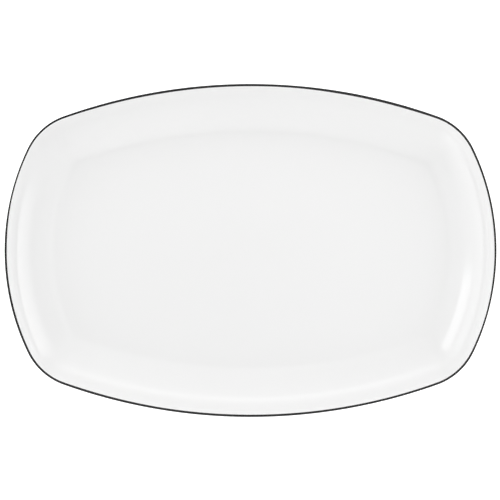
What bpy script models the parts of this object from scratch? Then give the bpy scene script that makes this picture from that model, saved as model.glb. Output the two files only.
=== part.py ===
"""China serving platter: a fired china body, its three glaze coats and the black line on its lip.

Run with: blender --background --python part.py

Frame, in metres: +Z up, +X along the platter's length, origin on the table below its middle.

Every piece is a section swept round the platter. A section is a list of spots (inset, height),
where an inset is a distance inwards from the rim's outline. The outline is four broad arcs joined
by corner arcs. The glaze's outer surface is drawn once, and the pieces are layers of it: a coat
of glaze or enamel, a fine gap, and the body below.
"""

import math
from typing import NamedTuple

import bmesh
import bpy

# The rim's outline, seen from above
LENGTH = 0.355
WIDTH = 0.2404
LONG_SIDE_RADIUS = 0.401
END_RADIUS = 0.170
CORNER_RADIUS = 0.046
LEAST_CORNER_RADIUS = 0.008
MITRE_START = 0.003  # inside this the corners tighten faster than the outline moves in
MITRE = 3.5  # how many times as fast, to begin with

# The section, from the lip inwards
HEIGHT = 0.028
LIP_RADIUS = 0.00135
WELL_INSET = 0.036  # where the flat well meets the wall
WALL_RADIUS = 0.040  # the face of the wall, one arc from the well to the lip
BACK_INSET = 0.038  # where the back of the wall comes level
RECESS_HEIGHT = 0.0045  # the underside of the base above the table
FOOT_INSET = 0.046  # the middle of the foot ring
FOOT_HALF_WIDTH = 0.0026  # at the table, before its edges are rounded
FOOT_DRAFT = math.radians(12)
FOOT_FILLET = 0.0018
FOOT_TIP_RADIUS = 0.0007
GLAZE_LINE = 0.0014  # the glaze is wiped off the foot below this height

# The fired layers
GLAZE = 0.0003
GAP = 0.0003
BODY_DEPTH = GLAZE + GAP  # the body's surface, below the glaze's outer surface

# The black line covers the lip between these angles, from the inward direction over the top
LINE_START = math.radians(72)
LINE_END = math.radians(198)

# Mesh steps
END_STEPS, CORNER_STEPS, SIDE_STEPS = 5, 5, 8  # in one quarter of the outline
WALL_STEPS, BACK_STEPS = 7, 6
LIP_FACE_STEPS, LINE_STEPS, LIP_BACK_STEPS = 2, 7, 1
FILLET_STEPS, TIP_STEPS = 2, 2
SHARP_ANGLE = math.radians(40)

# name: (colour, roughness)
MATERIALS = {
    "bisque_china": ((0.80, 0.78, 0.74), 0.60),
    "white_glaze": ((0.86, 0.86, 0.85), 0.08),
    "black_enamel": ((0.012, 0.012, 0.013), 0.15),
}


class Spot(NamedTuple):
    """A point of the section with the china's outward normal."""

    inset: float
    height: float
    out_inset: float
    out_height: float

    def below(self, depth):
        """The spot this far below the surface."""
        inset = self.inset - depth * self.out_inset
        height = self.height - depth * self.out_height
        return Spot(inset, height, self.out_inset, self.out_height)

    def across_foot(self):
        """The same spot on the other side of the foot ring."""
        return Spot(2 * FOOT_INSET - self.inset, self.height, -self.out_inset, self.out_height)


def arc(centre, radius, start, end, steps, hollow=False):
    """Spots on an arc. Angles run from the inward direction towards +Z. The china is outside a hollow arc."""
    side = -1 if hollow else 1
    spots = []
    for step in range(steps + 1):
        angle = start + (end - start) * step / steps
        along, up = math.cos(angle), math.sin(angle)
        spots.append(Spot(centre[0] + radius * along, centre[1] + radius * up, side * along, side * up))
    return spots


# The outer surface of the glaze, as arcs that run into each other

LIP_CENTRE = (LIP_RADIUS, HEIGHT - LIP_RADIUS)


def wall_face():
    """From the well's edge up to the lip, and the angle at which it meets the lip."""
    lean = math.asin((WELL_INSET - LIP_CENTRE[0]) / (WALL_RADIUS + LIP_RADIUS))
    centre = (WELL_INSET, LIP_CENTRE[1] + (WALL_RADIUS + LIP_RADIUS) * math.cos(lean))
    down = -math.pi / 2
    return arc(centre, WALL_RADIUS, down, down - lean, WALL_STEPS, hollow=True), math.pi / 2 - lean


def wall_back():
    """From the lip down to where the wall's back comes level, and the angle at which it leaves the lip."""
    across = BACK_INSET - LIP_CENTRE[0]
    drop = LIP_CENTRE[1] - RECESS_HEIGHT
    radius = (across**2 + drop**2 - LIP_RADIUS**2) / (2 * (drop - LIP_RADIUS))
    lean = math.asin(across / (radius - LIP_RADIUS))
    down = 3 * math.pi / 2
    centre = (BACK_INSET, RECESS_HEIGHT + radius)
    return arc(centre, radius, down - lean, down, BACK_STEPS), down - lean


def foot_half_width(height):
    return FOOT_HALF_WIDTH + height * math.tan(FOOT_DRAFT)


def foot_outer_side():
    """From the underside of the wall, round the fillet and down the foot's outer side to the glaze line."""
    fillet_height = RECESS_HEIGHT - FOOT_FILLET
    reach = foot_half_width(fillet_height) + FOOT_FILLET / math.cos(FOOT_DRAFT)
    centre = (FOOT_INSET - reach, fillet_height)
    fillet = arc(centre, FOOT_FILLET, math.pi / 2, FOOT_DRAFT, FILLET_STEPS, hollow=True)
    edge = Spot(
        FOOT_INSET - foot_half_width(GLAZE_LINE),
        GLAZE_LINE,
        -math.cos(FOOT_DRAFT),
        -math.sin(FOOT_DRAFT),
    )
    return [*fillet, edge]


def foot_tip():
    """The bare outer edge of the body's foot, from its side round to the flat that stands on the table."""
    reach = foot_half_width(FOOT_TIP_RADIUS) - (BODY_DEPTH + FOOT_TIP_RADIUS) / math.cos(FOOT_DRAFT)
    centre = (FOOT_INSET - reach, FOOT_TIP_RADIUS)
    return arc(centre, FOOT_TIP_RADIUS, math.pi + FOOT_DRAFT, 3 * math.pi / 2, TIP_STEPS)


def across_foot(spots):
    return [spot.across_foot() for spot in reversed(spots)]


WALL_FACE, LIP_START = wall_face()
WALL_BACK, LIP_END = wall_back()
FOOT_OUTER_SIDE = foot_outer_side()

FACE_SURFACE = WALL_FACE + arc(LIP_CENTRE, LIP_RADIUS, LIP_START, LINE_START, LIP_FACE_STEPS)[1:]
LINE_SURFACE = arc(LIP_CENTRE, LIP_RADIUS, LINE_START, LINE_END, LINE_STEPS)
BACK_SURFACE = arc(LIP_CENTRE, LIP_RADIUS, LINE_END, LIP_END, LIP_BACK_STEPS) + WALL_BACK[1:] + FOOT_OUTER_SIDE
BASE_SURFACE = across_foot(FOOT_OUTER_SIDE)


def between_coats(surface, start=False, end=False):
    """The surface with its marked ends moved in by the gap, so that two coats don't touch."""
    spots = list(surface)
    if start:
        spots[0] = moved_towards(spots[0], spots[1], GAP / 2)
    if end:
        spots[-1] = moved_towards(spots[-1], spots[-2], GAP / 2)
    return spots


def moved_towards(spot, other, distance):
    share = distance / math.dist(spot[:2], other[:2])
    return Spot(*(a + share * (b - a) for a, b in zip(spot, other)))


def coat(surface):
    """The closed section of a coat: its outer surface, then its inner surface on the way back."""
    return surface + [spot.below(GLAZE) for spot in reversed(surface)]


def body_section():
    """The body's section from the middle of the well, over the lip and the foot, to the middle of the base."""
    upper = FACE_SURFACE + LINE_SURFACE[1:] + BACK_SURFACE[1:]
    tip = foot_tip()
    return (
        [spot.below(BODY_DEPTH) for spot in upper]
        + tip
        + across_foot(tip)
        + [spot.below(BODY_DEPTH) for spot in BASE_SURFACE]
    )


# The outline


def corner_centre(end_centre, end_reach, side_centre, side_reach):
    """The corner arc's centre in the first quarter, at these distances from the centres of its neighbours."""
    across, up = side_centre[0] - end_centre[0], side_centre[1] - end_centre[1]
    apart = math.hypot(across, up)
    across, up = across / apart, up / apart
    along = (end_reach**2 - side_reach**2 + apart**2) / (2 * apart)
    off = math.sqrt(end_reach**2 - along**2)
    return end_centre[0] + along * across - off * up, end_centre[1] + along * up + off * across


def direction(start, end):
    return math.atan2(end[1] - start[1], end[0] - start[0])


def corner_radius(inset):
    """The walls meet at a soft mitre: inside the lip the corner radius runs down towards its least value."""
    if inset < MITRE_START:
        return CORNER_RADIUS - inset
    spare = CORNER_RADIUS - MITRE_START - LEAST_CORNER_RADIUS
    return LEAST_CORNER_RADIUS + spare * math.exp(-MITRE * (inset - MITRE_START) / spare)


def quarter_outline(inset):
    """Points (x, y) of the outline from the end of the length up to the middle of the long side."""
    end, side = END_RADIUS - inset, LONG_SIDE_RADIUS - inset
    corner = corner_radius(inset)
    end_centre = (LENGTH / 2 - END_RADIUS, 0.0)
    side_centre = (0.0, WIDTH / 2 - LONG_SIDE_RADIUS)
    centre = corner_centre(end_centre, end - corner, side_centre, side - corner)
    end_turn, side_turn = direction(end_centre, centre), direction(side_centre, centre)
    arcs = (
        (end_centre, end, 0.0, end_turn, END_STEPS),
        (centre, corner, end_turn, side_turn, CORNER_STEPS),
        (side_centre, side, side_turn, math.pi / 2, SIDE_STEPS),
    )
    points = []
    for (x, y), radius, start, stop, steps in arcs:
        for step in range(steps):
            angle = start + (stop - start) * step / steps
            points.append((x + radius * math.cos(angle), y + radius * math.sin(angle)))
    return [*points, (0.0, side_centre[1] + side)]


def outline(inset):
    """The whole outline moved in by inset, anticlockwise from +X."""
    quarter = quarter_outline(inset)
    half = quarter + [(-x, y) for x, y in reversed(quarter[1:-1])]
    return half + [(-x, -y) for x, y in half]


def material(name):
    colour, roughness = MATERIALS[name]
    made = bpy.data.materials.new(name)
    made.use_nodes = True
    shader = made.node_tree.nodes["Principled BSDF"]
    shader.inputs["Base Color"].default_value = (*colour, 1.0)
    shader.inputs["Roughness"].default_value = roughness
    shader.inputs["Metallic"].default_value = 0.0
    made.diffuse_color = (*colour, 1.0)
    return made


def swept(name, section, finish, ring=False):
    """Sweeps a section round the platter. A ring's section closes on itself, and any other's two ends are capped."""
    mesh = bpy.data.meshes.new(name)
    bm = bmesh.new()
    loops = [[bm.verts.new((x, y, spot.height)) for x, y in outline(spot.inset)] for spot in section]
    if ring:
        loops.append(loops[0])
    for first, second in zip(loops, loops[1:]):
        for i in range(len(first)):
            bm.faces.new((first[i - 1], first[i], second[i], second[i - 1]))
    if not ring:
        bm.faces.new(loops[0])
        bm.faces.new(loops[-1])
    bmesh.ops.recalc_face_normals(bm, faces=bm.faces)
    bm.to_mesh(mesh)
    bm.free()
    mesh.materials.append(finish)
    mesh.shade_smooth()
    mesh.set_sharp_from_angle(angle=SHARP_ANGLE)
    made = bpy.data.objects.new(name, mesh)
    bpy.context.scene.collection.objects.link(made)
    return made


def main():
    for old in list(bpy.data.objects):
        bpy.data.objects.remove(old)
    bisque, white, black = (material(name) for name in MATERIALS)
    swept("china_body", body_section(), bisque)
    swept("face_glaze", coat(between_coats(FACE_SURFACE, end=True)), white)
    swept("rim_line", coat(between_coats(LINE_SURFACE, start=True, end=True)), black, ring=True)
    swept("back_glaze", coat(between_coats(BACK_SURFACE, start=True)), white, ring=True)
    swept("base_glaze", coat(BASE_SURFACE[::-1]), white)


main()
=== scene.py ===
"""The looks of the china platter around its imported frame.

The visual pieces follow the same section and outline as the CAD pieces, drawn much finer:
the china body, its three coats of white glaze, and the black line banded by hand over the lip.
"""

import math
from functools import lru_cache
from typing import NamedTuple

import bmesh
import bpy
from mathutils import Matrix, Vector

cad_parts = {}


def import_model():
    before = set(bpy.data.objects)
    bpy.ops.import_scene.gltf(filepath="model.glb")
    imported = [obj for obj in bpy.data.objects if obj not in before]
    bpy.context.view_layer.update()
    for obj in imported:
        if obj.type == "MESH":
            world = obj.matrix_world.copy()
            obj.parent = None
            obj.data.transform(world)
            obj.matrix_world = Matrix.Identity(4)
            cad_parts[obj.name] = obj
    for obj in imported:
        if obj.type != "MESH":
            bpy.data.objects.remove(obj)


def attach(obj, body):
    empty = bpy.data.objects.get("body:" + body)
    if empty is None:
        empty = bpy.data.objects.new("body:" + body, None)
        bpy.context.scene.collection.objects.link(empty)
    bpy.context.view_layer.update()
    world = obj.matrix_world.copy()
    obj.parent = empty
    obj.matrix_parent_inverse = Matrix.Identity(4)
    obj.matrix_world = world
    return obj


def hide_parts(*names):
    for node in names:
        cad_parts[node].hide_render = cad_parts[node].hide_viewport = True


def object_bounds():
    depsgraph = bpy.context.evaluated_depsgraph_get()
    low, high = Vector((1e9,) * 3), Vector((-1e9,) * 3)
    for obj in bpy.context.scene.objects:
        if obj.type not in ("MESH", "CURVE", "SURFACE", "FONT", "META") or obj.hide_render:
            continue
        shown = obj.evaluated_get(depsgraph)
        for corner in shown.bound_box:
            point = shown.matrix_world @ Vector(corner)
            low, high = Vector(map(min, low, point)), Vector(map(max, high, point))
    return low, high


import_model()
CAD_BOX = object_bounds()

MM = 0.001

# The outline, seen from above
LENGTH = CAD_BOX[1][0] - CAD_BOX[0][0]
WIDTH = CAD_BOX[1][1] - CAD_BOX[0][1]
HEIGHT = CAD_BOX[1][2]
LONG_SIDE_RADIUS = 401 * MM
END_RADIUS = 170 * MM
CORNER_RADIUS = 46 * MM
LEAST_CORNER_RADIUS = 8 * MM
MITRE_START = 3 * MM  # inside this the corners tighten faster than the outline moves in
MITRE = 3.5  # how many times as fast, to begin with

# The section, from the lip inwards
LIP_RADIUS = 1.35 * MM
WELL_INSET = 36 * MM
WALL_RADIUS = 40 * MM
BACK_INSET = 38 * MM
RECESS_HEIGHT = 4.5 * MM
FOOT_INSET = 46 * MM
FOOT_HALF_WIDTH = 2.6 * MM
FOOT_DRAFT = math.radians(12)
FOOT_FILLET = 1.8 * MM
FOOT_TIP_RADIUS = 0.7 * MM
GLAZE_LINE = 1.4 * MM  # the height on the foot where the glaze is wiped off
SEAM = math.radians(140)  # where the face and back coats meet on the lip, under the black line

# The fired layers, as depths below the CAD surface
LINE_TOP = 0.002 * MM
LINE_EDGE = 0.035 * MM
LINE_FOOT = 0.038 * MM
GLAZE_TOP = 0.030 * MM
GLAZE_FOOT = 0.300 * MM
BODY_TOP = 0.305 * MM
BARE_FOOT_DEPTH = 0.6 * MM

# The black line, banded by hand. Its angles on the lip run from the inward direction towards +Z.
# How wide it lies over the lip as seen from above, in millimetres, at even steps round the platter from +X:
LINE_WIDTHS = (
    1.66, 1.64, 1.80, 2.13, 2.06, 1.84, 1.85, 1.91, 1.98, 1.88, 1.62, 1.37,
    1.80, 1.80, 1.80, 1.91, 1.84, 1.89, 1.88, 1.86, 1.80, 1.73, 1.77, 1.48,
)
LINE_END = 199  # degrees, on the outer side of the lip
LINE_END_WAVES = ((2.5, 5, 1.3), (1.5, 11, 0.0))  # degrees, waves round the platter and phase
LINE_TAPER = math.radians(5)

# Mesh steps
END_STEPS, CORNER_STEPS, SIDE_STEPS = 16, 20, 28
QUARTER_STEPS = END_STEPS + CORNER_STEPS + SIDE_STEPS
RING_STEPS = 4 * QUARTER_STEPS
WALL_STEPS, BACK_STEPS, LIP_STEPS, LINE_STEPS, FILLET_STEPS, TIP_STEPS = 36, 30, 14, 16, 6, 5
WELL_RINGS = 12
SHARP_ANGLE = math.radians(38)


# The section


def spot(inset, height, out_inset, out_height):
    """A point of the section with the china's outward normal."""
    return (inset, height, out_inset, out_height)


def below(s, depth):
    """The spot that lies this deep in the china."""
    return (s[0] - depth * s[2], s[1] - depth * s[3], s[2], s[3])


def arc(centre, radius, start, end, steps, hollow=False):
    """Spots on an arc. Angles run from the inward direction towards +Z."""
    side = -1 if hollow else 1
    spots = []
    for step in range(steps + 1):
        a = start + (end - start) * step / steps
        c, s = math.cos(a), math.sin(a)
        spots.append(spot(centre[0] + radius * c, centre[1] + radius * s, side * c, side * s))
    return spots


LIP_CENTRE = (LIP_RADIUS, HEIGHT - LIP_RADIUS)


def wall_face():
    """The wall's upper side, from the well to the lip, and the angle at which it meets the lip."""
    lean = math.asin((WELL_INSET - LIP_CENTRE[0]) / (WALL_RADIUS + LIP_RADIUS))
    centre = (WELL_INSET, LIP_CENTRE[1] + (WALL_RADIUS + LIP_RADIUS) * math.cos(lean))
    down = -math.pi / 2
    return arc(centre, WALL_RADIUS, down, down - lean, WALL_STEPS, hollow=True), math.pi / 2 - lean


def wall_back():
    """The wall's underside, from the lip to the base, and the angle at which it leaves the lip."""
    across = BACK_INSET - LIP_CENTRE[0]
    drop = LIP_CENTRE[1] - RECESS_HEIGHT
    radius = (across**2 + drop**2 - LIP_RADIUS**2) / (2 * (drop - LIP_RADIUS))
    lean = math.asin(across / (radius - LIP_RADIUS))
    down = 3 * math.pi / 2
    return arc((BACK_INSET, RECESS_HEIGHT + radius), radius, down - lean, down, BACK_STEPS), down - lean


def foot_half_width(height):
    return FOOT_HALF_WIDTH + height * math.tan(FOOT_DRAFT)


def foot_outer_side():
    fillet_height = RECESS_HEIGHT - FOOT_FILLET
    reach = foot_half_width(fillet_height) + FOOT_FILLET / math.cos(FOOT_DRAFT)
    centre = (FOOT_INSET - reach, fillet_height)
    spots = arc(centre, FOOT_FILLET, math.pi / 2, FOOT_DRAFT, FILLET_STEPS, hollow=True)
    out = (-math.cos(FOOT_DRAFT), -math.sin(FOOT_DRAFT))
    spots.append(spot(FOOT_INSET - foot_half_width(GLAZE_LINE), GLAZE_LINE, *out))
    return spots


def foot_tip():
    """The bare bearing edge's outer half."""
    reach = foot_half_width(FOOT_TIP_RADIUS) - (BARE_FOOT_DEPTH + FOOT_TIP_RADIUS) / math.cos(FOOT_DRAFT)
    centre = (FOOT_INSET - reach, FOOT_TIP_RADIUS)
    return arc(centre, FOOT_TIP_RADIUS, math.pi + FOOT_DRAFT, 3 * math.pi / 2, TIP_STEPS)


def across_foot(spots):
    """The same spots on the foot's other side, in the order in which the section reaches them."""
    return [(2 * FOOT_INSET - s[0], s[1], -s[2], s[3]) for s in reversed(spots)]


WALL_FACE, LIP_START = wall_face()
WALL_BACK, LIP_END = wall_back()
FACE_SURFACE = WALL_FACE + arc(LIP_CENTRE, LIP_RADIUS, LIP_START, SEAM, LIP_STEPS)[1:]
BACK_SURFACE = arc(LIP_CENTRE, LIP_RADIUS, SEAM, LIP_END, LIP_STEPS) + WALL_BACK[1:] + foot_outer_side()
BASE_SURFACE = across_foot(foot_outer_side())


def coat(surface):
    """A glaze coat's closed section: its outer surface, then its inner surface on the way back."""
    return [below(s, GLAZE_TOP) for s in surface] + [below(s, GLAZE_FOOT) for s in reversed(surface)]


def body_section():
    upper = FACE_SURFACE + BACK_SURFACE[1:]
    tip = foot_tip()
    return (
        [below(s, BODY_TOP) for s in upper]
        + tip
        + across_foot(tip)
        + [below(s, BODY_TOP) for s in BASE_SURFACE]
    )


# The outline


def corner_radius(inset):
    """The walls meet at a soft mitre: inside the lip the radius runs down towards its least value."""
    if inset < MITRE_START:
        return CORNER_RADIUS - inset
    spare = CORNER_RADIUS - MITRE_START - LEAST_CORNER_RADIUS
    return LEAST_CORNER_RADIUS + spare * math.exp(-MITRE * (inset - MITRE_START) / spare)


@lru_cache(maxsize=None)
def quarter_arcs(inset):
    """(centre, radius, start angle, end angle, steps) of the three arcs of a quarter, from +X to +Y."""
    end, side = END_RADIUS - inset, LONG_SIDE_RADIUS - inset
    corner = corner_radius(inset)
    end_centre = (LENGTH / 2 - END_RADIUS, 0.0)
    side_centre = (0.0, WIDTH / 2 - LONG_SIDE_RADIUS)
    across, up = side_centre[0] - end_centre[0], side_centre[1] - end_centre[1]
    apart = math.hypot(across, up)
    across, up = across / apart, up / apart
    along = ((end - corner) ** 2 - (side - corner) ** 2 + apart**2) / (2 * apart)
    off = math.sqrt((end - corner) ** 2 - along**2)
    centre = (end_centre[0] + along * across - off * up, end_centre[1] + along * up + off * across)
    end_turn = math.atan2(centre[1] - end_centre[1], centre[0] - end_centre[0])
    side_turn = math.atan2(centre[1] - side_centre[1], centre[0] - side_centre[0])
    return (
        (end_centre, end, 0.0, end_turn, END_STEPS),
        (centre, corner, end_turn, side_turn, CORNER_STEPS),
        (side_centre, side, side_turn, math.pi / 2, SIDE_STEPS),
    )


def quarter_point(step, inset):
    for (x, y), radius, start, stop, steps in quarter_arcs(inset):
        if step < steps:
            a = start + (stop - start) * step / steps
            return x + radius * math.cos(a), y + radius * math.sin(a)
        step -= steps
    return 0.0, WIDTH / 2 - inset


def ring_point(k, inset):
    """Point k of the outline moved in by inset, anticlockwise from +X."""
    half, step = divmod(k, 2 * QUARTER_STEPS)
    mirrored = step > QUARTER_STEPS
    if mirrored:
        step = 2 * QUARTER_STEPS - step
    x, y = quarter_point(step, inset)
    if mirrored:
        x = -x
    return (-x, -y) if half else (x, y)


@lru_cache(maxsize=None)
def outline(inset):
    return [ring_point(k, inset) for k in range(RING_STEPS)]


# The pieces


def piece(name, bm, finish, node):
    bmesh.ops.recalc_face_normals(bm, faces=bm.faces)
    mesh = bpy.data.meshes.new(name)
    bm.to_mesh(mesh)
    bm.free()
    mesh.materials.append(finish)
    mesh.shade_smooth()
    mesh.set_sharp_from_angle(angle=SHARP_ANGLE)
    made = bpy.data.objects.new(name, mesh)
    bpy.context.scene.collection.objects.link(made)
    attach(made, "root")
    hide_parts(node)


def join_loops(bm, loops, closed):
    """Fills the bands between neighbouring loops, and from the last loop to the first if closed."""
    if closed:
        loops = loops + [loops[0]]
    for first, second in zip(loops, loops[1:]):
        for i in range(len(first)):
            bm.faces.new((first[i - 1], first[i], second[i], second[i - 1]))


def fan(bm, loop, rings):
    """Fills a flat loop with rings that shrink to its middle."""
    height = loop[0].co.z
    loops = [loop]
    for k in range(1, rings):
        share = 1 - k / rings
        loops.append([bm.verts.new((v.co.x * share, v.co.y * share, height)) for v in loop])
    join_loops(bm, loops, closed=False)
    middle = bm.verts.new((0, 0, height))
    last = loops[-1]
    for i in range(len(last)):
        bm.faces.new((last[i - 1], last[i], middle))


def swept(name, section, finish, node, ring=False):
    """Sweeps a section round the platter. A ring's closes on itself, and others are filled at both ends."""
    bm = bmesh.new()
    loops = [[bm.verts.new((x, y, s[1])) for x, y in outline(s[0])] for s in section]
    join_loops(bm, loops, closed=ring)
    if not ring:
        fan(bm, loops[0], WELL_RINGS)
        fan(bm, loops[-1], WELL_RINGS)
    piece(name, bm, finish, node)


def line_edges(k):
    """The angles on the lip between which the black line lies at ring step k."""
    turn = 2 * math.pi * k / RING_STEPS
    x, y = ring_point(k, 0.0)
    count = len(LINE_WIDTHS)
    place, share = divmod(math.atan2(y, x) / (2 * math.pi) % 1 * count, 1)
    place, share = int(place), (1 - math.cos(math.pi * share)) / 2
    wide = LINE_WIDTHS[place % count] * (1 - share) + LINE_WIDTHS[(place + 1) % count] * share
    start = math.acos(wide * MM / LIP_RADIUS - 1)
    end = LINE_END + sum(size * math.sin(waves * turn + phase) for size, waves, phase in LINE_END_WAVES)
    return start, math.radians(end)


def line_section(start, end):
    """(angle, radius) on the lip round the enamel film: its face with thin soft edges, then its underside."""
    angles = [start + (end - start) * step / LINE_STEPS for step in range(LINE_STEPS + 1)]
    section = []
    for a in angles:
        fall = 1 - min(1.0, (a - start) / LINE_TAPER, (end - a) / LINE_TAPER)
        depth = LINE_TOP + (LINE_EDGE - LINE_TOP) * (1 - math.sqrt(max(0.0, 1 - fall**2)))
        section.append((a, LIP_RADIUS - depth))
    return section + [(a, LIP_RADIUS - LINE_FOOT) for a in angles[-2:0:-1]]


def rim_line(finish):
    """The enamel line: a film that stands a hair proud of the glaze."""
    bm = bmesh.new()
    columns = []
    for k in range(RING_STEPS):
        column = []
        for a, radius in line_section(*line_edges(k)):
            inset = LIP_CENTRE[0] + radius * math.cos(a)
            height = LIP_CENTRE[1] + radius * math.sin(a)
            x, y = ring_point(k, inset)
            column.append(bm.verts.new((x, y, height)))
        columns.append(column)
    join_loops(bm, columns, closed=True)
    piece("rim_line_enamel", bm, finish, "rim_line")


# The finishes

GLASS_IOR = 1.5


class Finish:
    """A material with a Principled shader, and short names for the nodes that feed it."""

    def __init__(self, name):
        self.material = bpy.data.materials.new(name)
        self.material.use_nodes = True
        tree = self.material.node_tree
        self.nodes, self.links = tree.nodes, tree.links
        self.sockets = tree.nodes["Principled BSDF"].inputs
        self.coords = self.nodes.new("ShaderNodeTexCoord").outputs["Object"]

    def feed(self, socket, value):
        self.links.new(value, self.sockets[socket])

    def noise(self, scale, detail, roughness=0.5):
        """Noise with about this many patches to a metre."""
        made = self.nodes.new("ShaderNodeTexNoise")
        made.inputs["Scale"].default_value = scale
        made.inputs["Detail"].default_value = detail
        made.inputs["Roughness"].default_value = roughness
        self.links.new(self.coords, made.inputs["Vector"])
        return made.outputs["Fac"]

    def ranged(self, value, low, high, start=0.3, end=0.7):
        made = self.nodes.new("ShaderNodeMapRange")
        made.inputs["From Min"].default_value = start
        made.inputs["From Max"].default_value = end
        made.inputs["To Min"].default_value = low
        made.inputs["To Max"].default_value = high
        self.links.new(value, made.inputs["Value"])
        return made.outputs["Result"]

    def tinted(self, factor, first, second):
        made = self.nodes.new("ShaderNodeMix")
        made.data_type = "RGBA"
        made.inputs["A"].default_value = (*first, 1)
        made.inputs["B"].default_value = (*second, 1)
        self.links.new(factor, made.inputs["Factor"])
        return made.outputs["Result"]

    def bump(self, height, distance, normal=None):
        made = self.nodes.new("ShaderNodeBump")
        made.inputs["Distance"].default_value = distance
        made.inputs["Strength"].default_value = 1.0
        self.links.new(height, made.inputs["Height"])
        if normal:
            self.links.new(normal, made.inputs["Normal"])
        return made.outputs["Normal"]


def white_glaze():
    """Clear glossy glaze on white china: faint cloudiness, slow waves from the firing, a fine orange peel."""
    made = Finish("white_glaze_finish")
    cloud = made.ranged(made.noise(scale=22, detail=3), low=0, high=1)
    made.feed("Base Color", made.tinted(cloud, (0.861, 0.861, 0.859), (0.865, 0.865, 0.864)))
    made.feed("Roughness", made.ranged(made.noise(scale=90, detail=4), low=0.035, high=0.075))
    waves = made.bump(made.noise(scale=45, detail=1), 0.03 * MM)
    made.feed("Normal", made.bump(made.noise(scale=700, detail=2), 0.0012 * MM, normal=waves))
    made.sockets["IOR"].default_value = GLASS_IOR
    return made.material


def black_enamel():
    """Glossy black enamel, a little uneven in tone and gloss from the banding brush."""
    made = Finish("black_enamel_finish")
    tone = made.ranged(made.noise(scale=260, detail=3), low=0, high=1)
    made.feed("Base Color", made.tinted(tone, (0.006, 0.006, 0.007), (0.018, 0.017, 0.017)))
    made.feed("Roughness", made.ranged(made.noise(scale=500, detail=3), low=0.12, high=0.26))
    made.feed("Normal", made.bump(made.noise(scale=900, detail=2), 0.004 * MM))
    made.sockets["IOR"].default_value = GLASS_IOR
    made.sockets["Specular IOR Level"].default_value = 0.35
    return made.material


def bisque():
    """Bare fired china at the foot: dry, faintly warm, fine-grained, a little grey where it has stood."""
    made = Finish("bisque_china_finish")
    tone = made.ranged(made.noise(scale=140, detail=5, roughness=0.65), low=0, high=1, start=0.25, end=0.75)
    made.feed("Base Color", made.tinted(tone, (0.70, 0.675, 0.62), (0.82, 0.80, 0.755)))
    made.feed("Roughness", made.ranged(made.noise(scale=400, detail=3), low=0.55, high=0.8))
    made.feed("Normal", made.bump(made.noise(scale=2500, detail=3), 0.02 * MM))
    return made.material


# The platter

white, black, bare = white_glaze(), black_enamel(), bisque()
swept("china_body_bisque", body_section(), bare, "china_body")
swept("face_glaze_coat", coat(FACE_SURFACE), white, "face_glaze")
swept("back_glaze_coat", coat(BACK_SURFACE), white, "back_glaze", ring=True)
swept("base_glaze_coat", coat(BASE_SURFACE[::-1]), white, "base_glaze")
rim_line(black)


# The studio

WHITE = (1, 1, 1, 1)
CAMERA_LENS = 220.0
SENSOR = 36.0
CAMERA_REACH = 50
FRAME_WIDTH = 360.6 * MM  # what the picture's width covers at the rim
OFF_CENTRE = Vector((-0.37 * MM, 0.33 * MM, 0))


def camera():
    """Looks straight down, with +Y up in the picture."""
    data = bpy.data.cameras.new("camera")
    data.lens = CAMERA_LENS
    data.sensor_width = SENSOR
    data.clip_end = CAMERA_REACH
    made = bpy.data.objects.new("camera", data)
    made.location = OFF_CENTRE + Vector((0, 0, LIP_CENTRE[1] + FRAME_WIDTH * CAMERA_LENS / SENSOR))
    bpy.context.scene.collection.objects.link(made)
    bpy.context.scene.camera = made


# The studio's light as the platter sees it, in degrees from the zenith and degrees round from +X:
# a white tent with an opening for the camera, lit and dark panels, and a plain backdrop for the camera.
TENT = (  # degrees from the zenith, strength
    (0, 0.10), (3, 0.36), (8, 0.72), (15, 0.84), (25, 0.926),
    (40, 0.946), (55, 0.995), (70, 1.007), (82, 0.79), (92, 0.64),
)
TILTS = (  # degrees from the zenith, growth of the strength towards +X, and towards +Y
    (0, 5.0, 11.0), (3, 4.0, 8.0), (8, 1.2, 0.6), (15, 0.95, -0.55),
    (40, 0.17, -0.18), (65, -0.285, 0.10), (92, -0.17, 0.23),
)
SADDLE, TWIST = -0.145, 0.056  # growth of the strength with x * x - y * y, and with x * y
RAMP_REACH = 16  # a ramp holds values from minus this to plus this


class Panel(NamedTuple):
    """A lit or dark panel: what it adds to the tent, and where."""

    strength: float
    growth: float  # for every ten degrees further from the zenith
    drift: float  # for every ten degrees further round
    middle: float  # from the zenith
    half_height: float
    upper_softness: float
    lower_softness: float
    azimuth: float
    half_width: float
    side_softness: float
    slant: float  # degrees from the zenith for every degree round


PANELS = (
    Panel(1.38, 0.50, 0.02, 69.3, 14.2, 3.5, 1.3, 9.5, 26.5, 6.0, 0.10),  # right
    Panel(0.44, 0.14, -0.04, 72.5, 8.0, 5.0, 2.5, 175.0, 36.0, 12.0, 0.03),  # left, low
    Panel(2.33, -0.46, 0.13, 46.5, 9.5, 3.0, 5.0, 159.0, 15.5, 5.0, 0.00),  # left, high
    Panel(1.05, 0.05, 0.01, 71.0, 5.8, 3.0, 4.2, 84.0, 27.0, 7.0, -0.10),  # back
    Panel(-0.74, -0.04, -0.09, 85.8, 4.8, 1.5, 2.5, 176.0, 30.0, 6.0, -0.03),  # the gap under the left one
    Panel(-0.66, -0.23, -0.20, 86.3, 2.8, 1.0, 1.5, 3.0, 17.0, 5.0, 0.08),  # the gap under the right one
    Panel(-0.75, 0.03, -0.08, 32.0, 20.0, 7.0, 5.0, 3.0, 27.0, 10.0, 0.00),  # the dark above the right one
    Panel(0.43, 0.08, 0.06, 62.0, 34.0, 12.0, 4.0, -45.0, 24.0, 12.0, 0.00),  # front, right
    Panel(0.42, 0.30, 0.21, 62.0, 34.0, 12.0, 4.0, 222.0, 20.0, 12.0, 0.00),  # front, left
)


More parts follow.
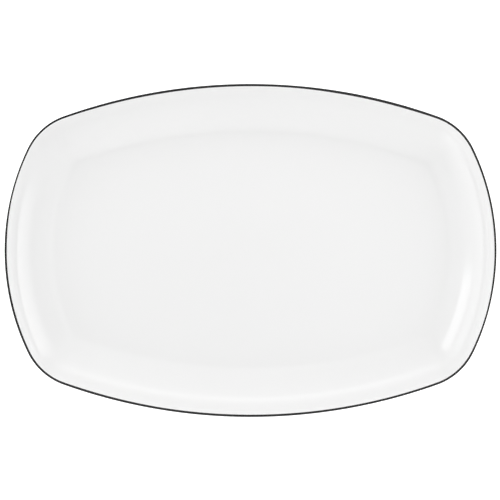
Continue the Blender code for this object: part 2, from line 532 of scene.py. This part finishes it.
class Maths:
    """Short names for a node tree's maths."""

    def __init__(self, tree):
        self.nodes, self.links = tree.nodes, tree.links

    def do(self, operation, *values):
        made = self.nodes.new("ShaderNodeMath")
        made.operation = operation
        for socket, value in zip(made.inputs, values):
            if isinstance(value, (int, float)):
                socket.default_value = value
            else:
                self.links.new(value, socket)
        return made.outputs["Value"]

    def step(self, value, middle, softness, falling=False):
        """Smoothly 0 to 1, or 1 to 0, about the middle."""
        made = self.nodes.new("ShaderNodeMapRange")
        made.interpolation_type = "SMOOTHSTEP"
        made.inputs["From Min"].default_value = middle - softness
        made.inputs["From Max"].default_value = middle + softness
        made.inputs["To Min"].default_value = 1.0 if falling else 0.0
        made.inputs["To Max"].default_value = 0.0 if falling else 1.0
        self.links.new(value, made.inputs["Value"])
        return made.outputs["Result"]


def ramp(maths, fraction, stops):
    """The three outputs of a colour ramp over stops of (place, three values)."""
    made = maths.nodes.new("ShaderNodeValToRGB")
    maths.links.new(fraction, made.inputs["Fac"])
    elements = made.color_ramp.elements
    for place, _ in stops[1:-1]:
        elements.new(place)
    for element, (_, values) in zip(elements, stops):
        element.color = (*((v / RAMP_REACH + 1) / 2 for v in values), 1)
    split = maths.nodes.new("ShaderNodeSeparateColor")
    maths.links.new(made.outputs["Color"], split.inputs["Color"])
    return [maths.do("MULTIPLY_ADD", output, 2 * RAMP_REACH, -RAMP_REACH) for output in split.outputs]


def degrees(maths, angle):
    return maths.do("MULTIPLY", angle, 180 / math.pi)


def tent(maths, x, y, zenith):
    low = TENT[-1][0]
    fraction = maths.do("DIVIDE", zenith, low)
    total = ramp(maths, fraction, [(angle / low, (v, v, v)) for angle, v in TENT])[0]
    tilts = ramp(maths, fraction, [(angle / low, (tx, ty, 0)) for angle, tx, ty in TILTS])
    total = maths.do("MULTIPLY_ADD", x, tilts[0], total)
    total = maths.do("MULTIPLY_ADD", y, tilts[1], total)
    saddle = maths.do("SUBTRACT", maths.do("MULTIPLY", x, x), maths.do("MULTIPLY", y, y))
    total = maths.do("MULTIPLY_ADD", saddle, SADDLE, total)
    return maths.do("MULTIPLY_ADD", maths.do("MULTIPLY", x, y), TWIST, total)


def with_panel(maths, panel, x, y, zenith, total):
    c, s = math.cos(math.radians(panel.azimuth)), math.sin(math.radians(panel.azimuth))
    along = maths.do("ADD", maths.do("MULTIPLY", x, c), maths.do("MULTIPLY", y, s))
    across = maths.do("SUBTRACT", maths.do("MULTIPLY", y, c), maths.do("MULTIPLY", x, s))
    turn = degrees(maths, maths.do("ARCTAN2", across, along))
    slanted = maths.do("MULTIPLY_ADD", turn, -panel.slant, zenith)
    upper = maths.step(slanted, panel.middle - panel.half_height, panel.upper_softness)
    lower = maths.step(slanted, panel.middle + panel.half_height, panel.lower_softness, falling=True)
    sides = maths.step(maths.do("ABSOLUTE", turn), panel.half_width, panel.side_softness, falling=True)
    growth = panel.growth / 10
    grade = maths.do("MULTIPLY_ADD", zenith, growth, panel.strength - growth * panel.middle)
    grade = maths.do("MULTIPLY_ADD", turn, panel.drift / 10, grade)
    shape = maths.do("MULTIPLY", maths.do("MULTIPLY", upper, lower), sides)
    return maths.do("MULTIPLY_ADD", grade, shape, total)


def world():
    made = bpy.data.worlds.new("studio")
    bpy.context.scene.world = made
    made.use_nodes = True
    tree = made.node_tree
    nodes, links, maths = tree.nodes, tree.links, Maths(tree)
    background = nodes["Background"]
    split = nodes.new("ShaderNodeSeparateXYZ")
    links.new(nodes.new("ShaderNodeTexCoord").outputs["Generated"], split.inputs["Vector"])
    x, y, z = split.outputs
    zenith = degrees(maths, maths.do("ARCCOSINE", z))
    total = tent(maths, x, y, zenith)
    for panel in PANELS:
        total = with_panel(maths, panel, x, y, zenith, total)
    links.new(maths.do("MAXIMUM", total, 0), background.inputs["Strength"])
    background.inputs["Color"].default_value = WHITE
    backdrop = nodes.new("ShaderNodeBackground")
    backdrop.inputs["Color"].default_value = WHITE
    backdrop.inputs["Strength"].default_value = 1.0
    mix = nodes.new("ShaderNodeMixShader")
    links.new(nodes.new("ShaderNodeLightPath").outputs["Is Camera Ray"], mix.inputs["Fac"])
    links.new(background.outputs["Background"], mix.inputs[1])
    links.new(backdrop.outputs["Background"], mix.inputs[2])
    links.new(mix.outputs["Shader"], nodes["World Output"].inputs["Surface"])


FLOOR_RADIUS = 6
FLOOR_SIDES = 96
FLOOR_DROP = 0.2 * MM
FLOOR_TONE = (0.85, 0.85, 0.85, 1)

# The floor glows a little, to stay white in the platter's shade, less so further off and not at all under
# the platter. The edges lie where |x / (LENGTH / 2)| ** 3 + |y / (WIDTH / 2)| ** 3, which is 1 about the
# platter's outline, has these middles and softnesses.
BESIDE_GLOW, FAR_GLOW = 0.6, 0.28
SHADOW_EDGE, GLOW_EDGE = (0.65, 0.3), (2.0, 0.7)


def floor_glow(finish):
    maths = Maths(finish.material.node_tree)
    split = finish.nodes.new("ShaderNodeSeparateXYZ")
    finish.links.new(finish.coords, split.inputs["Vector"])
    x = maths.do("ABSOLUTE", maths.do("DIVIDE", split.outputs["X"], LENGTH / 2))
    y = maths.do("ABSOLUTE", maths.do("DIVIDE", split.outputs["Y"], WIDTH / 2))
    reach = maths.do("ADD", maths.do("POWER", x, 3), maths.do("POWER", y, 3))
    glow = maths.do("MULTIPLY", maths.step(reach, *SHADOW_EDGE), BESIDE_GLOW)
    return maths.do("MULTIPLY_ADD", maths.step(reach, *GLOW_EDGE), FAR_GLOW - BESIDE_GLOW, glow)


def floor():
    bm = bmesh.new()
    bmesh.ops.create_circle(bm, cap_ends=True, segments=FLOOR_SIDES, radius=FLOOR_RADIUS)
    mesh = bpy.data.meshes.new("studio_floor")
    bm.to_mesh(mesh)
    bm.free()
    finish = Finish("floor_finish")
    finish.sockets["Base Color"].default_value = FLOOR_TONE
    finish.sockets["Roughness"].default_value = 0.9
    finish.sockets["Specular IOR Level"].default_value = 0.0
    finish.sockets["Emission Color"].default_value = WHITE
    finish.feed("Emission Strength", floor_glow(finish))
    mesh.materials.append(finish.material)
    made = bpy.data.objects.new("studio_floor", mesh)
    made.location = (0, 0, -FLOOR_DROP)
    bpy.context.scene.collection.objects.link(made)


floor()
world()
camera()
view = bpy.context.scene.view_settings
view.view_transform = "Standard"
view.look = "None"
